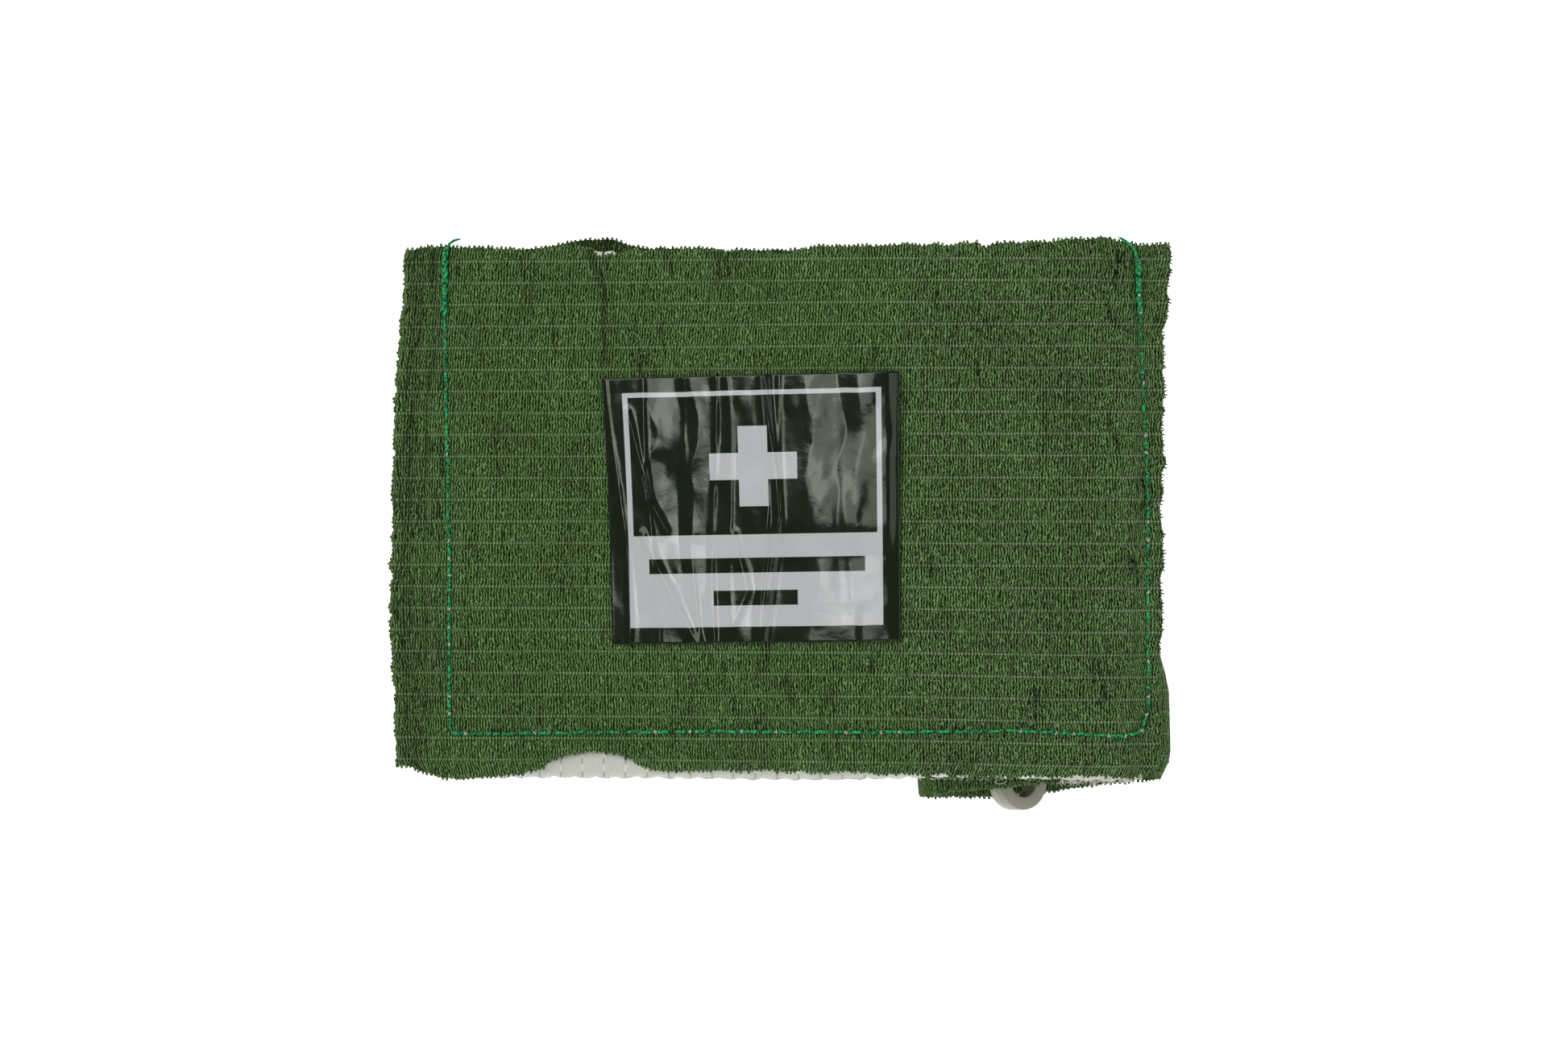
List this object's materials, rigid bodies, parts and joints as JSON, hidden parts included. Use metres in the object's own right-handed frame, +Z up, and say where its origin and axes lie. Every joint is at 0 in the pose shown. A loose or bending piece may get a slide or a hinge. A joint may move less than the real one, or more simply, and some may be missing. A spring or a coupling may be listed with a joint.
{
  "type": "emergency trauma bandage",
  "caption": "Green elastic pressure bandage lying open: a knitted wrap sewn over a white wound pad, with its wound tail and a plastic closure bar.",
  "frame": {"origin": "middle of the footprint, on the surface that the bandage lies on", "axes": "+X from the wrap's fold towards its cut end, +Y across the wrap, +Z up through the pad"},
  "size_m": [0.1488, 0.1086, 0.0252],
  "materials": {
    "green_knit": "crinkled cohesive knit, matt",
    "white_pad": "quilted nonwoven, matt",
    "printed_film": "glossy printed film",
    "ivory_plastic": "moulded, satin"
  },
  "bodies": {
    "root": {"elastic_wrap": "green_knit", "wound_pad": "white_pad", "label": "printed_film", "closure_bar": "ivory_plastic"}
  },
  "joints": []
}
